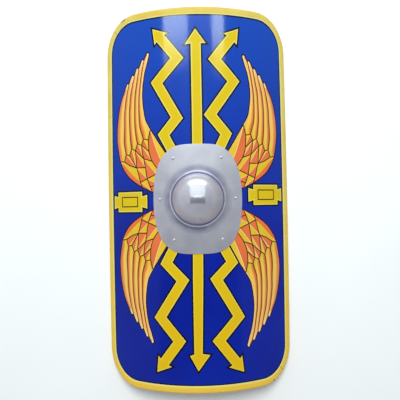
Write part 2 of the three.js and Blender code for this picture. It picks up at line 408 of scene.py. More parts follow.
def bolt(middle_line):
    """A thunderbolt: a zigzag band with an arrowhead."""
    tip = Vector(middle_line[-1])
    direction = (tip - Vector(middle_line[-2])).normalized()
    right_barb, left_barb, base = head(tip, direction)
    band = stroke([*middle_line[:-1], tuple(base + direction * 2)], BOLT_WIDTH)
    half = len(band) // 2
    return [*band[:half], right_barb, tuple(tip), left_barb, *band[half:]]


def outlined(picture, polygon, pale=True):
    """A yellow shape with a pale inner edge and a black outline."""
    if area(polygon) < 0:
        polygon = polygon[::-1]
    picture.lay("black", grown(polygon, LINE))
    picture.lay("yellow_edge" if pale else "yellow", polygon)
    if pale:
        picture.lay("yellow", grown(polygon, -PALE_EDGE))


def tablet(picture, side, centre_v):
    """A small eared tablet."""
    wide, high = TABLET_BODY
    ear, flare, neck = TABLET_EAR
    corner = [(wide + ear, -flare), (wide + ear, flare), (wide, neck), (wide, high)]
    shape = corner + [(-u, v) for u, v in corner[::-1]]
    shape += [(-u, -v) for u, v in ((wide, neck), (wide, high))]
    shape += [(wide, -high), (wide, -neck)]
    centre = side * TABLET_CENTRE_U
    outlined(picture, [(centre + u, centre_v + v) for u, v in shape])
    inner_wide, inner_high = TABLET_INNER
    for grow, paint in ((TABLET_LINE / 2, "umber"), (-TABLET_LINE / 2, "yellow")):
        u, v = inner_wide + grow, inner_high + grow
        box = [(-u, -v), (u, -v), (u, v), (-u, v)]
        picture.lay(paint, [(centre + a, centre_v + b) for a, b in box])


def interpolate(value, stations, levels):
    """Straight lines between levels at stations, which rise."""
    if value <= stations[0]:
        return levels[0]
    for (a, b), (low, high) in zip(zip(stations, stations[1:]), zip(levels, levels[1:])):
        if value <= b:
            return low + (high - low) * (value - a) / (b - a)
    return levels[-1]


def feather_cap(tip, inner, outer):
    """The rounded end of a feather, as three points from its inner to its outer side."""
    tip = Vector(tip)
    ahead = (tip - (Vector(inner) + Vector(outer)) / 2).normalized()
    side = Vector((ahead.y, -ahead.x))
    if side.dot(Vector(outer) - Vector(inner)) < 0:
        side = -side
    back = tip - ahead * CAP_LENGTH
    return [tuple(back - side * CAP_HALF_WIDTH), tuple(tip), tuple(back + side * CAP_HALF_WIDTH)]


def wing(picture, side, end, stray, drift, breadth):
    """A wing of five long feathers, a shoulder and small covert feathers, in one quarter of the board."""
    def place(points):
        placed = []
        for u, v in points:
            across = WING_HINGE + (u - WING_HINGE) * breadth
            placed.append((side * across + drift, end * (v + interpolate(v, WING_STATIONS, stray))))
        return placed

    divides = [smooth(line) for line in WING_DIVIDES]
    inner_edge = smooth(WING_INNER)
    outer_edge = smooth(WING_OUTER)
    outers = [*divides, outer_edge]
    inners = [inner_edge, *divides]
    caps = [feather_cap(tip, inners[i][0], outers[i][0]) for i, tip in enumerate(WING_TIPS)]
    silhouette = [*inner_edge[::-1], *caps[0], *divides[0][:NOTCH + 1]]
    for i in range(1, len(caps)):
        silhouette += [*caps[i], outers[i][0]]
    silhouette += outer_edge[1:]
    silhouette += smooth(WING_ROOT)[1:]
    silhouette += [(60, 60), SHOULDER_INNER[-1], *SHOULDER_INNER[-2:0:-1]]
    shape = place(silhouette)
    if area(shape) < 0:
        shape = shape[::-1]
    picture.lay("plum", grown(shape, WING_LINE))
    picture.lay("orange", shape)

    bases = [COVERT[f"{i} inner"] for i in range(1, 6)]
    for i, cap in enumerate(caps):
        inner_line = inners[i][NOTCH:] if i == 1 else inners[i]
        inner = place([cap[1], cap[0], *inner_line, bases[i]])
        outer = place([cap[1], cap[2], *outers[i]])
        picture.lay("feather", inner + outer[:0:-1], (inner, outer))
    inner_pale = place([(u + FEATHER_PALE_WIDTH / 2, v) for u, v in inner_edge])
    outer_rose = place([(u - FEATHER_ROSE_WIDTH / 2, v) for u, v in outer_edge])
    picture.lay("cream", stroke(inner_pale, FEATHER_PALE_WIDTH))
    picture.lay("rose", stroke(outer_rose, FEATHER_ROSE_WIDTH))
    shoulder = smooth(SHOULDER)
    split = smooth(SHOULDER_SPLIT)
    picture.lay("orange", place([*split, *shoulder[::-1]]))
    picture.lay("sun", place([*split, *SHOULDER_INNER[::-1]]))
    picture.lay("cream", stroke(place(split), *SPLIT_WIDTHS))
    for cell, yellow in CELLS:
        picture.lay("orange", place([COVERT[name] for name in cell.split(",")]))
        part = [COVERT[name] for name in yellow.split(",")]
        if len(part) > 2:
            picture.lay("sun", place(part))
            picture.lay("cream", stroke(place([part[0], part[-1]]), CELL_PALE_WIDTH))
    for line in divides:
        picture.lay("divide", stroke(place(line), *DIVIDE_WIDTHS))
    for names in COVERT_LINES:
        picture.lay("brown", stroke(place([COVERT[name] for name in names.split(",")]), COVERT_LINE_WIDTH))
    picture.lay("brown", stroke(place(shoulder), COVERT_LINE_WIDTH))


def draw_front():
    """The whole painted front."""
    picture = Picture()
    picture.lay("blue", shield_outline(FOLD_CENTRE))
    # Painted shadow: a dark band along the edging's lip
    picture.lay("shade", shield_outline(EDGING_FRONT - LIP_SHADE_UNDER))
    picture.lay("blue", shield_outline(EDGING_FRONT + LIP_SHADE_WIDTH))
    for quarter in WINGS:
        wing(picture, *quarter)
    for middle_line in BOLTS:
        outlined(picture, bolt(middle_line))
    for shape in ARROWS:
        outlined(picture, shape)
    for side, centre_v in TABLETS:
        tablet(picture, side, centre_v)
    picture.lay(None, hand_hole())
    return picture


def hand_hole():
    points = []
    for angle in steps(0, 2 * math.pi, HOLE_STEPS)[:-1]:
        x = HAND_HOLE_RADIUS * math.cos(angle)
        points.append((FACE_RADIUS * math.asin(x / FACE_RADIUS), HAND_HOLE_RADIUS * math.sin(angle)))
    return points


def draw_back():
    """The bare back, with the same edge and hand hole."""
    picture = Picture()
    picture.lay("back", shield_outline(FOLD_CENTRE))
    picture.lay(None, hand_hole())
    return picture


# Where the edging's enamel is worn through at the two corners with joints, and how far each bare spot reaches
CHIPS = [(-222, 518.5, 2.8), (-216, 521, 3.2), (-211, 522.5, 2.4), (218, -521.5, 2.8)]


# Materials
LIP_HIGHLIGHT_REACH = 0.07  # share of the edging's section, from its front lip, that is painted pale as a highlight
LIP_HIGHLIGHT_FADE = 0.015
CHIP_FADE = 0.4
PLATE_ROUGHNESS = 0.33
DOME_ROUGHNESS = 0.17
RIVET_ROUGHNESS = 0.24


def node(tree, kind, **settings):
    made = tree.nodes.new(kind)
    for name, value in settings.items():
        if name in made.inputs:
            made.inputs[name].default_value = value
        else:
            setattr(made, name, value)
    return made


def new_material(name, roughness, metallic=0.0, specular=0.5):
    made = bpy.data.materials.new(name)
    made.use_nodes = True
    shader = made.node_tree.nodes["Principled BSDF"]
    shader.inputs["Roughness"].default_value = roughness
    shader.inputs["Metallic"].default_value = metallic
    shader.inputs["Specular IOR Level"].default_value = specular
    return made, made.node_tree, shader


def own_place(tree):
    """A point's place in the object's own space, in metres."""
    return node(tree, "ShaderNodeTexCoord").outputs["Object"]


def parts_of(tree, vector):
    """The X, Y and Z of a vector."""
    made = node(tree, "ShaderNodeSeparateXYZ")
    tree.links.new(vector, made.inputs["Vector"])
    return made.outputs


def worked(tree, operation, *sources):
    """The result of one sum on values, each a socket or a number."""
    made = node(tree, "ShaderNodeMath", operation=operation)
    for socket, source in enumerate(sources):
        if isinstance(source, float):
            made.inputs[socket].default_value = source
        else:
            tree.links.new(source, made.inputs[socket])
    return made.outputs["Value"]


def product(tree, first, *others):
    for other in others:
        first = worked(tree, "MULTIPLY", first, other)
    return first


def vector_worked(tree, operation, vector, fixed=None):
    """The result of one sum on a vector and, where it takes two, a fixed vector."""
    made = node(tree, "ShaderNodeVectorMath", operation=operation)
    tree.links.new(vector, made.inputs[0])
    if fixed is not None:
        made.inputs[1].default_value = fixed
    return made.outputs["Value" if operation in ("LENGTH", "DISTANCE") else "Vector"]


def noise_texture(tree, scale, detail=3.0, stretch=(1, 1, 1)):
    """Noise in the object's own space, scale in lumps to the metre."""
    mapping = node(tree, "ShaderNodeMapping", Scale=stretch)
    texture = node(tree, "ShaderNodeTexNoise", Scale=scale, Detail=detail)
    tree.links.new(own_place(tree), mapping.inputs["Vector"])
    tree.links.new(mapping.outputs["Vector"], texture.inputs["Vector"])
    return texture.outputs["Fac"]


def ramp(tree, source, stops):
    """Colours along a value: stops are (place, colour)."""
    made = node(tree, "ShaderNodeValToRGB")
    band = made.color_ramp
    while len(band.elements) < len(stops):
        band.elements.new(0.5)
    for element, (place, colour) in zip(band.elements, stops):
        element.position = place
        element.color = linear(colour)
    tree.links.new(source, made.inputs["Fac"])
    return made.outputs["Color"]


def level(tree, source, low, high, new_low, new_high):
    """Maps a value from one range to another."""
    made = node(tree, "ShaderNodeMapRange")
    for name, value in zip(("From Min", "From Max", "To Min", "To Max"), (low, high, new_low, new_high)):
        made.inputs[name].default_value = value
    tree.links.new(source, made.inputs["Value"])
    return made.outputs["Result"]


def mixed(tree, share, first, second):
    made = node(tree, "ShaderNodeMix", data_type="RGBA")
    for source, socket in ((share, 0), (first, 6), (second, 7)):
        if isinstance(source, tuple):
            made.inputs[socket].default_value = source
        else:
            tree.links.new(source, made.inputs[socket])
    return made.outputs[2]


def bump(tree, shader, height, distance, strength):
    made = node(tree, "ShaderNodeBump", Strength=strength, Distance=distance)
    tree.links.new(height, made.inputs["Height"])
    tree.links.new(made.outputs["Normal"], shader.inputs["Normal"])


def brushed_enamel(name, specular=0.32, roughness=0.24):
    """Glossy enamel, slightly uneven from the brush, with the socket that takes its colour."""
    made, tree, shader = new_material(name, roughness, specular=specular)
    bump(tree, shader, noise_texture(tree, 260, 2.0, (1, 0.12, 1)), 0.00004, 0.4)
    tree.links.new(level(tree, noise_texture(tree, 9), 0.3, 0.7, 0.09, 0.15), shader.inputs["Roughness"])
    return made, tree, shader.inputs["Base Color"]


def drifting(tree, colour, shade):
    """Softly clouded paint between two tones."""
    return ramp(tree, noise_texture(tree, 7), [(0.35, shade), (0.65, colour)])


def enamel(name, colour, shade):
    """Glossy enamel whose colour drifts softly between two tones."""
    made, tree, base = brushed_enamel(name)
    tree.links.new(drifting(tree, colour, shade), base)
    return made


def up_the_shield(tree):
    """How far up from the shield's middle a point is, in metres."""
    return parts_of(tree, own_place(tree))["Y"]


def blue_enamel():
    """The ground colour, with painted light: lighter and greener towards the shield's top edge, as if lit
    from above.
    """
    made, tree, base = brushed_enamel("blue_enamel", 0.26, 0.12)
    # Painted light: the lighter blue mixed in towards the top edge
    rise = level(tree, up_the_shield(tree), -0.1, 0.5, 0.0, 1.0)
    tree.links.new(mixed(tree, rise, drifting(tree, BLUE, BLUE_DEEP), linear(BLUE_LIT_TOP)), base)
    return made


def rising_enamel(name, low_colour, high_colour):
    """Glossy enamel that goes from one colour at the shield's bottom edge to another in its upper half. The
    change is painted light: paler and more lemon higher up, as if lit from above.
    """
    made, tree, base = brushed_enamel(name, 0.2)
    # Painted light: the colour shifts with height
    rise = level(tree, up_the_shield(tree), -0.5, 0.1, 0.0, 1.0)
    colours = ramp(tree, rise, [(0.0, low_colour), (1.0, high_colour)])
    drift = level(tree, noise_texture(tree, 7), 0.35, 0.65, 0.0, 0.25)
    tree.links.new(mixed(tree, drift, colours, linear(low_colour)), base)
    return made


def fading_enamel(name, near, far, low, high):
    """Enamel that goes from one colour at low to another at high, in metres up or down from the middle."""
    made, tree, base = brushed_enamel(name)
    share = level(tree, worked(tree, "ABSOLUTE", up_the_shield(tree)), low, high, 0, 1)
    colours = ramp(tree, share, [(0.0, near), (1.0, far)])
    drift = level(tree, noise_texture(tree, 30), 0.3, 0.7, 0.0, 0.07)
    tree.links.new(mixed(tree, drift, colours, linear(OCHRE_BROWN)), base)
    return made


def feather_enamel():
    """A long feather: orange on its outer half and yellow on its inner half, both paling to its tip."""
    made, tree, base = brushed_enamel("feather_enamel")
    places = parts_of(tree, node(tree, "ShaderNodeUVMap", uv_map="feather").outputs["UV"])
    across = places["X"]
    along = places["Y"]
    tip = [(0.98, CREAM), (1.0, PINK_WHITE)]
    inner = ramp(tree, along, [(0.0, SUN_YELLOW), (0.16, LIGHT_YELLOW), (0.9, PEACH), *tip])
    outer = ramp(
        tree, along, [(0.0, AMBER), (0.2, AMBER), (0.45, SALMON), (0.7, SALMON), (0.92, PEACH), *tip]
    )
    halves = mixed(tree, level(tree, across, 0.48, 0.82, 0, 1), inner, outer)
    shade = level(tree, across, 0.0, 0.22, 0.8, 0.0)
    tree.links.new(mixed(tree, shade, halves, linear(DEEP_YELLOW)), base)
    return made


def plywood():
    """Varnished plywood, its grain up the shield."""
    made, tree, shader = new_material("varnished_plywood", 0.38)
    grain = noise_texture(tree, 60, 6.0, (1, 0.05, 1))
    waves = level(tree, noise_texture(tree, 6, 2.0, (1, 0.25, 1)), 0.35, 0.65, 0.0, 0.5)
    fine = ramp(tree, grain, [(0.3, WOOD_DARK), (0.6, WOOD)])
    tree.links.new(mixed(tree, waves, fine, linear(WOOD_DARK)), shader.inputs["Base Color"])
    bump(tree, shader, grain, 0.0002, 0.4)
    return made


def ply_edge():
    """The plies that show on the edge of the hand hole, as rings round the bend's axis."""
    made, tree, shader = new_material("ply_edge", 0.6)
    from_axis = vector_worked(tree, "SUBTRACT", own_place(tree), (0, 0, (CROWN - FACE_RADIUS) * MM))
    reach = vector_worked(tree, "LENGTH", vector_worked(tree, "MULTIPLY", from_axis, (1, 0, 1)))
    ply = worked(tree, "PINGPONG", reach, PLY_THICKNESS * MM)
    share = level(tree, ply, PLY_THICKNESS / 3 * MM, PLY_THICKNESS / 1.5 * MM, 0, 1)
    tree.links.new(mixed(tree, share, linear(WOOD), linear(WOOD_DARK)), shader.inputs["Base Color"])
    bump(tree, shader, noise_texture(tree, 700), 0.0002, 0.5)
    return made


def edging_enamel():
    """Thick yellow enamel over folded metal, chipped to dark metal near the joints, with painted light: a
    painted highlight on its front lip and deeper colour towards the bottom edge.
    """
    made, tree, shader = new_material("edging_enamel", 0.28, specular=0.25)
    colours = ramp(tree, noise_texture(tree, 14), [(0.35, GOLD_DEEP), (0.6, GOLD)])
    # Painted light: deeper and more orange towards the bottom edge
    low = level(tree, up_the_shield(tree), -0.45, 0.35, 0.9, 0.0)
    colours = mixed(tree, low, colours, linear(GOLD_LOW))
    around = parts_of(tree, node(tree, "ShaderNodeUVMap", uv_map="around").outputs["UV"])["X"]
    # Painted highlight: the front lip paler
    lip = level(tree, around, LIP_HIGHLIGHT_REACH - LIP_HIGHLIGHT_FADE, LIP_HIGHLIGHT_REACH + LIP_HIGHLIGHT_FADE, 1.0, 0.0)
    colours = mixed(tree, lip, colours, linear(LIP_HIGHLIGHT))
    ragged = level(tree, noise_texture(tree, 260), 0.3, 0.7, -1.4 * MM, 1.4 * MM)
    for u, v, size in CHIPS:
        reach = vector_worked(tree, "DISTANCE", own_place(tree), on_face(u, v, EDGING_WALL))
        reach = worked(tree, "ADD", reach, ragged)
        chip = level(tree, reach, (size - CHIP_FADE) * MM, (size + CHIP_FADE) * MM, 1.0, 0.0)
        colours = mixed(tree, chip, colours, linear(CHIP_DARK))
    tree.links.new(colours, shader.inputs["Base Color"])
    bump(tree, shader, noise_texture(tree, 90, 2.0), 0.0003, 0.4)
    tree.links.new(level(tree, noise_texture(tree, 25), 0.3, 0.7, 0.22, 0.34), shader.inputs["Roughness"])
    return made


def boss_gloss_and_shade(tree, colours, gloss):
    """The boss's smoother dome, and painted shade: darker round the outside of its bead and in the groove at
    the dome's foot.
    """
    reach = vector_worked(tree, "LENGTH", vector_worked(tree, "MULTIPLY", own_place(tree), (1, 1, 0)))
    on_plate = level(tree, reach, 0.5 * DOME_RADIUS * MM, 0.78 * DOME_RADIUS * MM, 0.0, 1.0)
    blend = node(tree, "ShaderNodeMix", data_type="FLOAT")
    blend.inputs[2].default_value = DOME_ROUGHNESS
    tree.links.new(on_plate, blend.inputs[0])
    tree.links.new(gloss, blend.inputs[3])
    # Painted shade round the outside of the bead, broken up by noise
    bead_shade = product(
        tree,
        level(tree, reach, BEAD_RADIUS * MM, (BEAD_RADIUS + 20) * MM, 0.9, 0.0),
        level(tree, noise_texture(tree, 16, 2.0), 0.35, 0.62, 0.45, 1.0),
        level(tree, reach, (BEAD_RADIUS - 2) * MM, BEAD_RADIUS * MM, 0.0, 1.0),
    )
    colours = mixed(tree, bead_shade, colours, linear(STEEL_BEAD_SHADE))
    # Painted shade in the groove at the dome's foot
    groove = product(
        tree,
        level(tree, reach, (DOME_RADIUS - 4) * MM, (DOME_RADIUS - 0.6) * MM, 0.0, 0.45),
        level(tree, reach, (DOME_RADIUS + 0.4) * MM, (DOME_RADIUS + 2.4) * MM, 1.0, 0.0),
    )
    return mixed(tree, groove, colours, linear(STEEL_GROOVE_SHADE)), blend.outputs[0]


def brushed_steel(name, roughness, is_boss=False):
    """Satin steel with a soft cloudiness and fine scratches."""
    made, tree, shader = new_material(name, roughness, metallic=1.0)
    colours = ramp(tree, noise_texture(tree, 22, 4.0), [(0.35, STEEL_DARK), (0.65, STEEL)])
    scratches = noise_texture(tree, 900, 3.0, (1, 0.08, 1))
    gloss = level(tree, scratches, 0.3, 0.7, roughness - 0.04, roughness + 0.05)
    if is_boss:
        colours, gloss = boss_gloss_and_shade(tree, colours, gloss)
    tree.links.new(colours, shader.inputs["Base Color"])
    tree.links.new(gloss, shader.inputs["Roughness"])
    bump(tree, shader, scratches, 0.00003, 0.4)
    return made


def oiled_wood():
    made, tree, shader = new_material("oiled_ash", 0.5)
    grain = noise_texture(tree, 120, 6.0, (0.05, 1, 1))
    tree.links.new(ramp(tree, grain, [(0.3, GRIP_WOOD_DARK), (0.62, GRIP_WOOD)]), shader.inputs["Base Color"])
    bump(tree, shader, grain, 0.0004, 0.5)
    return made


# Meshes
def add_object(name, places, faces, materials, numbers=None):
    """A smooth-shaded object from points in metres."""
    mesh = bpy.data.meshes.new(name)
    mesh.from_pydata(places, [], faces)
    for made in materials:
        mesh.materials.append(made)
    if numbers is not None:
        mesh.polygons.foreach_set("material_index", numbers)
    mesh.shade_smooth()
    mesh.update()
    made = bpy.data.objects.new(name, mesh)
    bpy.context.scene.collection.objects.link(made)
    return made


def tube_faces(rings, count):
    """Quads between rings that follow each other, each of count points, and a cap on each end."""
    faces = []
    for start in range(0, (rings - 1) * count, count):
        for i in range(count):
            j = (i + 1) % count
            faces.append([start + i, start + j, start + count + j, start + count + i])
    faces.append(list(range(count))[::-1])
    faces.append([(rings - 1) * count + i for i in range(count)])
    return faces


def border_loops(triangles):
    """The closed chains of edges that only one triangle has, each in that triangle's own direction."""
    edges = dict.fromkeys(edge for a, b, c in triangles for edge in ((a, b), (b, c), (c, a)))
    follow = {a: b for a, b in edges if (b, a) not in edges}
    loops = []
    while follow:
        start = next(iter(follow))
        loop = [start]
        while follow[loop[-1]] != start:
            loop.append(follow.pop(loop[-1]))
        follow.pop(loop[-1])
        loops.append(loop)
    return loops


def feather_place(u, v, feather):
    """How far across a feather a point is, from its inner side, and how far along."""
    inner, outer = feather
    height = abs(v)
    lines = []
    for line in feather:
        rising = sorted((abs(p[1]), abs(p[0])) for p in line)
        lines.append(interpolate(height, [p[0] for p in rising], [p[1] for p in rising]))
    across = (abs(u) - lines[0]) / max(0.5, lines[1] - lines[0])
    base = abs(outer[-1][1])
    along = (height - base) / (abs(inner[0][1]) - base)
    return min(1, max(0, across)), min(1, max(0, along))


def build_board(paints):
    """The board: painted front, round edge, bare back and the wall of the hand hole, as one closed mesh."""
    names = list(paints)
    places = []
    normals = []
    faces = []
    numbers = []
    feathers = {}
    rims = []
    for picture, b, flip in ((draw_front(), 0.0, False), (draw_back(), -BOARD_THICKNESS, True)):
        flat, triangles = picture.triangles(GRID_ACROSS, GRID_ALONG)
        first = len(places)
        for p in flat:
            places.append(on_face(p.x, p.y, b))
            normals.append(out_of_face(p.x) * (-1 if flip else 1))
        for triangle, top in triangles:
            if picture.feathers[top]:
                corners = [feather_place(*flat[i], picture.feathers[top]) for i in triangle]
                feathers[len(faces)] = corners
            numbers.append(names.index(picture.paints[top]))
            faces.append([first + i for i in (triangle[::-1] if flip else triangle)])
        rims.append([(loop, first, flat) for loop in border_loops([t for t, _ in triangles])])

    # The round edge and the hole's wall join the two faces along their matching borders
    half = BOARD_THICKNESS / 2
    for (loop, first, flat), (back_loop, back_first, back_flat) in zip(
        sorted(rims[0], key=lambda rim: -len(rim[0])), sorted(rims[1], key=lambda rim: -len(rim[0]))
    ):
        keys = {(round(back_flat[i].x, 1), round(back_flat[i].y, 1)): back_first + i for i in back_loop}
        matched = [keys.get((round(flat[i].x, 1), round(flat[i].y, 1))) for i in loop]
        outer = max(abs(flat[i].y) for i in loop) > HALF_HEIGHT / 2
        rings = [[first + i for i in loop]]
        count = len(loop)
        turns = steps(math.pi / 2, -math.pi / 2, 8)[1:-1]
        profile = [(half * math.cos(a), half * (math.sin(a) - 1)) for a in turns]
        if not outer:
            profile = [(0.0, -BOARD_THICKNESS * share) for share in (0.06, 0.5, 0.94)]
        for offset, b in profile:
            ring = []
            for i in range(count):
                at = tuple(flat[loop[i]])
                moved = mitre(tuple(flat[loop[i - 1]]), at, tuple(flat[loop[(i + 1) % count]]), offset * 0.96)
                ring.append(len(places))
                places.append(on_face(*moved, b))
                normals.append(Vector((0, 0, 0)))
            rings.append(ring)
        rings.append(matched)
        for upper, lower in zip(rings, rings[1:]):
            for i in range(count):
                j = (i + 1) % count
                faces.append([upper[j], upper[i], lower[i], lower[j]])
                numbers.append(names.index("edge"))

    board = add_object("painted_board", places, faces, [paints[name] for name in names], numbers)
    layer = board.data.uv_layers.new(name="feather")
    for number, corners in feathers.items():
        for loop_index, corner in zip(board.data.polygons[number].loop_indices, corners):
            layer.data[loop_index].uv = corner
    board.data.normals_split_custom_set_from_vertices(normals)
    return board


def edging_section():
    """The section of the U: x inwards from the outer edge and y out of the painted face."""
    middle = -BOARD_THICKNESS / 2
    lip = EDGING_SHEET / 2
    points = []

    def arc(x, y, radius, start, end, count):
        for angle in steps(start, end, count):
            points.append((x - radius * math.cos(angle), y + radius * math.sin(angle)))

    quarter = math.pi / 2
    arc(EDGING_FRONT - lip, EDGING_WALL - lip, lip, quarter, -quarter, 6)
    points.extend((x, EDGING_WALL) for x in (EDGING_FRONT - 3, EDGING_FRONT - 9, FOLD_CENTRE + 1.5))
    arc(FOLD_CENTRE, middle, FOLD_CENTRE, quarter, -quarter, 16)
    points.append((FOLD_CENTRE + 2, middle - FOLD_CENTRE))
    back = -BOARD_THICKNESS - CLEARANCE - lip
    for angle in steps(-quarter, quarter, 6):
        points.append((EDGING_BACK - lip + lip * math.cos(angle), back + lip * math.sin(angle)))
    arc(FOLD_CENTRE, middle, FOLD_CENTRE - EDGING_SHEET, -quarter, quarter, 12)
    return points


def edging_stations():
    """One strip's stations, from the bottom right corner up the right side and over the top."""
    straight_u = HALF_ARC - CORNER_RADIUS
    straight_v = HALF_HEIGHT - CORNER_RADIUS
    slit = EDGING_JOINT / 2 / CORNER_RADIUS
    stations = []

    def corner(u, v, start, end, count):
        for angle in steps(start, end, count):
            stations.append((u, v, math.cos(angle), math.sin(angle)))

    corner(straight_u, -straight_v, -math.pi / 4 + slit, 0, 16)
    for share in steps(-1, 1, 48)[1:-1]:
        stations.append((straight_u, straight_v * share, 1, 0))
    corner(straight_u, straight_v, 0, math.pi / 2, 32)
    for share in steps(1, -1, 44)[1:-1]:
        stations.append((straight_u * share, straight_v, 0, 1))
    corner(-straight_u, straight_v, math.pi / 2, 3 * math.pi / 4 - slit, 16)
    return stations


def build_edging(name, turn, paint):
    section = edging_section()
    places = []
    for u, v, nu, nv in edging_stations():
        for x, y in section:
            reach = CORNER_RADIUS - x
            places.append(on_face(*bowed(turn * (u + reach * nu), turn * (v + reach * nv)), y))
    count = len(section)
    stations = len(places) // count
    made = add_object(name, places, tube_faces(stations, count), [paint])
    made.data.set_sharp_from_angle(angle=math.radians(50))
    reached = [0.0]
    for (x, y), (next_x, next_y) in zip(section, section[1:]):
        reached.append(reached[-1] + math.hypot(next_x - x, next_y - y))
    layer = made.data.uv_layers.new(name="around")
    for loop in made.data.loops:
        station, corner = divmod(loop.vertex_index, count)
        layer.data[loop.index].uv = (reached[corner] / reached[-1], station / stations)
    return made


def plate_reach(across, along):
    x = abs(across) / BOSS_HALF_WIDTH
    y = abs(along) / BOSS_HALF_HEIGHT
    return (x ** BOSS_SQUARENESS + y ** BOSS_SQUARENESS) ** (-1 / BOSS_SQUARENESS)


def boss_profile():
    """The boss's section as radius and height above the flange's face: over it, its edge, and under it."""
    quarter = math.pi / 2
    over = [(DOME_RADIUS * math.sin(a), DOME_HEIGHT * math.cos(a)) for a in steps(0, quarter, 28)[1:]]
    for share in steps(0, 1, 12)[1:]:
        over.append((DOME_RADIUS + share * BEAD_WIDTH, BEAD_HEIGHT * math.sin(share * math.pi)))
    over += [(radius, 0.0) for radius in steps(BEAD_RADIUS, BOSS_HALF_HEIGHT - 1.6, 16)[1:]]
    lip = BOSS_SHEET / 2
    edge = []
    for angle in steps(quarter, -quarter, 6):
        edge.append((BOSS_HALF_HEIGHT - lip + lip * math.cos(angle), lip * math.sin(angle) - lip))
    inner = DOME_RADIUS - BOSS_SHEET
    inner_height = DOME_HEIGHT - BOSS_SHEET
    under = [(inner * math.sin(a), inner_height * math.cos(a)) for a in steps(0, quarter, 16)[1:-1]]
    under += [(inner, -BOSS_SHEET)]
    under += [(radius, -BOSS_SHEET) for radius in steps(BEAD_RADIUS, BOSS_HALF_HEIGHT - 4, 14)]
    return over, edge, under


def build_boss(steel):
    """One pressed sheet, all bent to the board: hollow dome, bead and flange."""
    over, edge, under = boss_profile()
    rings = over + edge + under[::-1]
    top = CROWN + FLANGE_BASE + DOME_HEIGHT
    count = 192
    places = [Vector((0, 0, top)) * MM]

    def settle(radius, height, angle):
        across = math.cos(angle)
        along = math.sin(angle)
        share = max(0.0, (radius - BEAD_RADIUS) / (BOSS_HALF_HEIGHT - BEAD_RADIUS))
        reach = min(radius, BEAD_RADIUS) + share * (plate_reach(across, along) - BEAD_RADIUS)
        x = across * reach * (1 - share * BOSS_BOW * (along * reach / BOSS_HALF_HEIGHT) ** 2)
        return Vector((x, along * reach, curve_height(x, FLANGE_BASE + height))) * MM

    for radius, height in rings:
        for angle in steps(0, 2 * math.pi, count)[:-1]:
            places.append(settle(radius, height, angle))
    places.append(Vector((0, 0, top - BOSS_SHEET)) * MM)
    faces = [[0, 1 + i, 1 + (i + 1) % count] for i in range(count)]
    for ring in range(len(rings) - 1):
        start = 1 + ring * count
        for i in range(count):
            j = (i + 1) % count
            faces.append([start + i, start + count + i, start + count + j, start + j])
    start = 1 + (len(rings) - 1) * count
    faces += [[start + (i + 1) % count, start + i, len(places) - 1] for i in range(count)]
    made = add_object("pressed_boss", places, faces, [steel])
    made.data.set_sharp_from_angle(angle=math.radians(60))
    return made


def build_rivet(name, node_name, steel):
    """A domed head in front, a shank and a flatter hammered head behind, standing square to the face."""
    low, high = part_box(node_name)
    centre = (low + high) / 2 / MM
    u = FACE_RADIUS * math.atan2(centre.x, centre.z - CROWN + FACE_RADIUS)
    axis = out_of_face(u)
    side = Vector((axis.z, 0, -axis.x))
    front = FLANGE_BASE + CLEARANCE
    middle = abs(centre.y) < RIVET_HEAD
    back = -BOARD_THICKNESS - CLEARANCE - (CLEARANCE + GRIP_END_THICKNESS if middle else 0)
    quarter = math.pi / 2
    profile = []
    for angle in steps(0.12, quarter, 6):
        profile.append((RIVET_HEAD * 0.92 * math.sin(angle), back - RIVET_PEEN_HEIGHT * math.cos(angle)))
    profile += [(RIVET_SHANK, back), (RIVET_SHANK, front), (RIVET_HEAD * 0.94, front)]
    profile.append((RIVET_HEAD, front + 0.35))
    for angle in steps(0.2, quarter - 0.12, 8):
        profile.append((RIVET_HEAD * math.cos(angle), front + RIVET_HEAD_HEIGHT * math.sin(angle)))
    count = 40
    base = on_face(u, centre.y, 0.0)
    places = []
    for radius, height in profile:
        for angle in steps(0, 2 * math.pi, count)[:-1]:
            flat = side * math.cos(angle) + Vector((0, 1, 0)) * math.sin(angle)
            places.append(base + (flat * radius + axis * height) * MM)
    made = add_object(name, places, tube_faces(len(profile), count), [steel])
    made.data.set_sharp_from_angle(angle=math.radians(50))
    return made


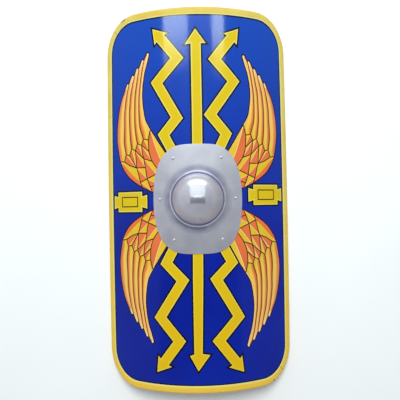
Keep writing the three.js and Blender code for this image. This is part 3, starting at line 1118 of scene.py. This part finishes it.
def build_grip(wood):
    """The hand grip: a straight bar rounded for the hand, whose ends spread to seats on the board's back."""
    seat = -BOARD_THICKNESS - CLEARANCE
    strap = seat - GRIP_END_THICKNESS
    end_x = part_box("hand_grip")[1].x / MM
    bar_front = CROWN - BOARD_THICKNESS - GRIP_BAR_SETBACK
    bar_back = bar_front - GRIP_BAR_THICKNESS
    half_bar = GRIP_BAR_LENGTH / 2
    seat_start = HAND_HOLE_RADIUS + 4
    places = []
    sections = 121
    corner_points = 7
    for share in steps(-1, 1, sections - 1):
        x = share * end_x
        reach = abs(x)
        front_share = interpolate(reach, (half_bar - 9, seat_start), (0, 1))
        back_share = interpolate(reach, (half_bar, half_bar + GRIP_BAR_THICKNESS), (0, 1))
        front_share = front_share * front_share * (3 - 2 * front_share)
        back_share = back_share * back_share * (3 - 2 * back_share)
        top = bar_front + front_share * (curve_height(x, seat) - bar_front)
        low = bar_back + back_share * (curve_height(x, strap) - bar_back)
        rounding = interpolate(reach, (half_bar - 14, half_bar + 12), (9.5, 3.5))
        rounding = min(rounding, (top - low) / 2 - 0.2)
        end_round = math.sqrt(max(0.0, 1 - max(0.0, (reach - end_x + 7) / 7) ** 2))
        half = GRIP_HALF_WIDTH - 5 * (1 - end_round)
        centre = (top + low) / 2
        thick = (top - low) / 2 * max(0.55, end_round) if reach > end_x - 3 else (top - low) / 2
        rounding = min(rounding, thick - 0.1)
        for turn, (side, up) in enumerate([(1, 1), (-1, 1), (-1, -1), (1, -1)]):
            for angle in steps(turn * math.pi / 2, (turn + 1) * math.pi / 2, corner_points - 1):
                y = side * (half - rounding) + rounding * math.cos(angle)
                z = centre + up * (thick - rounding) + rounding * math.sin(angle)
                places.append(Vector((x, y, z)) * MM)
    count = 4 * corner_points
    made = add_object("carved_grip", places, tube_faces(sections, count), [wood])
    made.data.set_sharp_from_angle(angle=math.radians(50))
    return made


# Floor, light and camera
FLOOR_REACH = 6.0


def build_floor():
    turns = ((-1, -1), (1, -1), (1, 1), (-1, 1))
    corners = [(side * FLOOR_REACH, end * FLOOR_REACH, 0) for side, end in turns]
    floor = add_object("floor", corners, [[0, 1, 2, 3]], [])
    made, tree, shader = new_material("pale_floor", 0.7, specular=0.2)
    tone = ramp(tree, noise_texture(tree, 3), [(0.3, FLOOR_SHADE), (0.7, FLOOR_PALE)])
    tree.links.new(tone, shader.inputs["Base Color"])
    floor.data.materials.append(made)
    floor.visible_glossy = False


SKY_COLOUR = (0.9, 0.95, 1.0, 1.0)
DARK_OVERHEAD = 0.25
# Name, place, target, size in metres, watts, and what it shines on
SOFTBOXES = [
    ("key", (-0.12, 1.3, 2.6), (0, 0, 0.1), (1.2, 1.3), 64, "everything"),
    ("boss_screen", (0, 2.08, 1.86), (0, 0.857, 0), (3.6, 3.9), 20, "steel"),
    ("back_screen", (0, 3.8, 0.85), (0, 0, 0.85), (5.2, 1.7), 25, "steel"),
    ("plate_glow", (0, 0.31, 2.1), (0, 0.31, 0), (1.4, 0.18), 0.6, "steel"),
]
# Level tubes of light that shine in the paint: their sides and brightness, and how they fade from y to y
TUBES = [("left", -1.2, -0.26, 1.0), ("middle", -0.26, 0.59, 0.1), ("right", 0.59, 1.06, 1.05)]
TUBE_HEIGHT = 2.1
TUBE_POWER = 52
TUBE_COLOUR = (0.86, 1, 0.88)
KEY_COLOUR = (0.93, 1, 0.98)
SCREEN_COLOUR = (0.87, 1, 0.98)
TUBE_FADE = [(0.98, 1.08, 0.25), (1.08, 1.18, 0.5), (1.18, 1.28, 0.8), (1.28, 1.8, 1.0)]


def add_light(name, place, target, size, power, colour):
    data = bpy.data.lights.new(name, "AREA")
    data.shape = "RECTANGLE"
    data.size, data.size_y = size
    data.energy = power
    data.color = colour
    made = bpy.data.objects.new(name, data)
    made.location = place
    made.rotation_euler = (Vector(target) - Vector(place)).to_track_quat("-Z", "Y").to_euler()
    bpy.context.scene.collection.objects.link(made)
    return made


def build_world():
    """An even pale studio, darker straight above, where the photographer stands."""
    world = bpy.data.worlds.new("studio")
    world.use_nodes = True
    tree = world.node_tree
    sky = tree.nodes["Background"]
    towards = parts_of(tree, node(tree, "ShaderNodeTexCoord").outputs["Generated"])
    dark = product(
        tree,
        level(tree, worked(tree, "ABSOLUTE", towards["X"]), 0.55, 0.61, DARK_OVERHEAD, 0.0),
        level(tree, towards["Y"], -0.37, -0.31, 0.0, 1.0),
        level(tree, towards["Y"], 0.03, 0.09, 1.0, 0.0),
    )
    strength = product(
        tree,
        worked(tree, "SUBTRACT", level(tree, towards["Y"], -0.5, 0.7, 0.42, 0.66), dark),
        level(tree, towards["Z"], -0.3, 0.05, 0.8, 1.0),
        level(tree, towards["X"], -0.9, 0.9, 1.12, 0.92),
    )
    tree.links.new(strength, sky.inputs["Strength"])
    sky.inputs["Color"].default_value = SKY_COLOUR
    bpy.context.scene.world = world


# The photograph's frame is 400 pixels square
PHOTO_SIZE = 400
CAMERA_DISTANCE = 1.3
FOCAL_PIXELS = 471.45
CAMERA_PITCH = math.radians(-1.009)
CAMERA_YAW = math.radians(-0.338)
CAMERA_ROLL = math.radians(-1.049)
CENTRE_PIXEL = (197.74, 198.81)
SENSOR_WIDTH = 36


def build_camera():
    """Looks straight down on the lying shield from above its crown."""
    turn = Matrix.Rotation(CAMERA_ROLL, 3, "Z").transposed()
    turn = turn @ Matrix.Rotation(CAMERA_PITCH, 3, "X") @ Matrix.Rotation(CAMERA_YAW, 3, "Y")
    to_world = turn.transposed()
    data = bpy.data.cameras.new("camera")
    data.sensor_width = SENSOR_WIDTH
    data.lens = FOCAL_PIXELS * SENSOR_WIDTH / PHOTO_SIZE
    data.shift_x = (PHOTO_SIZE / 2 - CENTRE_PIXEL[0]) / PHOTO_SIZE
    data.shift_y = (CENTRE_PIXEL[1] - PHOTO_SIZE / 2) / PHOTO_SIZE
    camera = bpy.data.objects.new("camera", data)
    place = Vector((0, 0, CROWN * MM)) + to_world @ Vector((0, 0, CAMERA_DISTANCE))
    camera.matrix_world = Matrix.Translation(place) @ to_world.to_4x4()
    bpy.context.scene.collection.objects.link(camera)
    bpy.context.scene.camera = camera


def main():
    paints = {
        "blue": blue_enamel(),
        "black": enamel("black_enamel", BLACK, BLACK_WARM),
        # Painted shadow along the edging's lip
        "shade": enamel("edging_shadow_enamel", EDGING_SHADOW_BLUE, BLACK),
        "plum": enamel("plum_enamel", PLUM, BLACK),
        "yellow": rising_enamel("yellow_enamel", YELLOW_LOW, YELLOW),
        "yellow_edge": rising_enamel("pale_yellow_enamel", YELLOW_PALE_LOW, YELLOW_PALE),
        "umber": enamel("umber_enamel", UMBER, BLACK),
        "brown": enamel("brown_enamel", BROWN, BROWN_DEEP),
        "divide": fading_enamel("feather_line_enamel", BROWN, OCHRE_BROWN, 0.16, 0.24),
        "orange": fading_enamel("orange_enamel", ORANGE, AMBER, 0.12, 0.2),
        "sun": fading_enamel("sun_yellow_enamel", SUN_YELLOW, LIGHT_YELLOW, 0.12, 0.2),
        "cream": enamel("cream_enamel", CREAM, PEACH),
        "rose": enamel("rose_enamel", ROSE, SALMON),
        "feather": feather_enamel(),
        "back": plywood(),
        "edge": ply_edge(),
    }
    groups = {name: bpy.data.collections.new(name) for name in ("paint", "steel")}
    board = build_board(paints)
    groups["paint"].objects.link(board)
    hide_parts("board")
    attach(board, "root")

    gold = edging_enamel()
    for name, turn in (("top_right", 1), ("bottom_left", -1)):
        strip = build_edging(f"folded_edging_{name}", turn, gold)
        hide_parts(f"rim_edging_{name}")
        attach(strip, "root")

    boss = build_boss(brushed_steel("boss_steel", PLATE_ROUGHNESS, True))
    groups["steel"].objects.link(boss)
    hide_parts("boss")
    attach(boss, "root")

    rivet_steel = brushed_steel("rivet_steel", RIVET_ROUGHNESS)
    for row in ("top", "middle", "bottom"):
        for column in ("left", "right"):
            rivet = build_rivet(f"turned_rivet_{row}_{column}", f"rivet_{row}_{column}", rivet_steel)
            groups["steel"].objects.link(rivet)
            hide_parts(f"rivet_{row}_{column}")
            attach(rivet, "root")

    grip = build_grip(oiled_wood())
    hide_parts("hand_grip")
    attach(grip, "root")

    build_floor()
    build_world()
    for name, place, target, size, power, subject in SOFTBOXES:
        colour = SCREEN_COLOUR if subject == "steel" else KEY_COLOUR
        made = add_light(name, place, target, size, power, colour)
        made.visible_diffuse = subject == "everything"
        made.visible_glossy = subject != "everything"
        if subject in groups:
            made.light_linking.receiver_collection = groups[subject]
    for side, left, right, brightness in TUBES:
        for number, (near, far, share) in enumerate(TUBE_FADE):
            place = ((left + right) / 2, (near + far) / 2, TUBE_HEIGHT)
            size = (right - left, far - near)
            power = TUBE_POWER * brightness * share * size[0] * size[1]
            below = (place[0], place[1], 0)
            made = add_light(f"tube_{side}_{number}", place, below, size, power, TUBE_COLOUR)
            made.visible_diffuse = False
            made.light_linking.receiver_collection = groups["paint"]
    build_camera()
    bpy.context.scene.view_settings.view_transform = "Standard"


main()
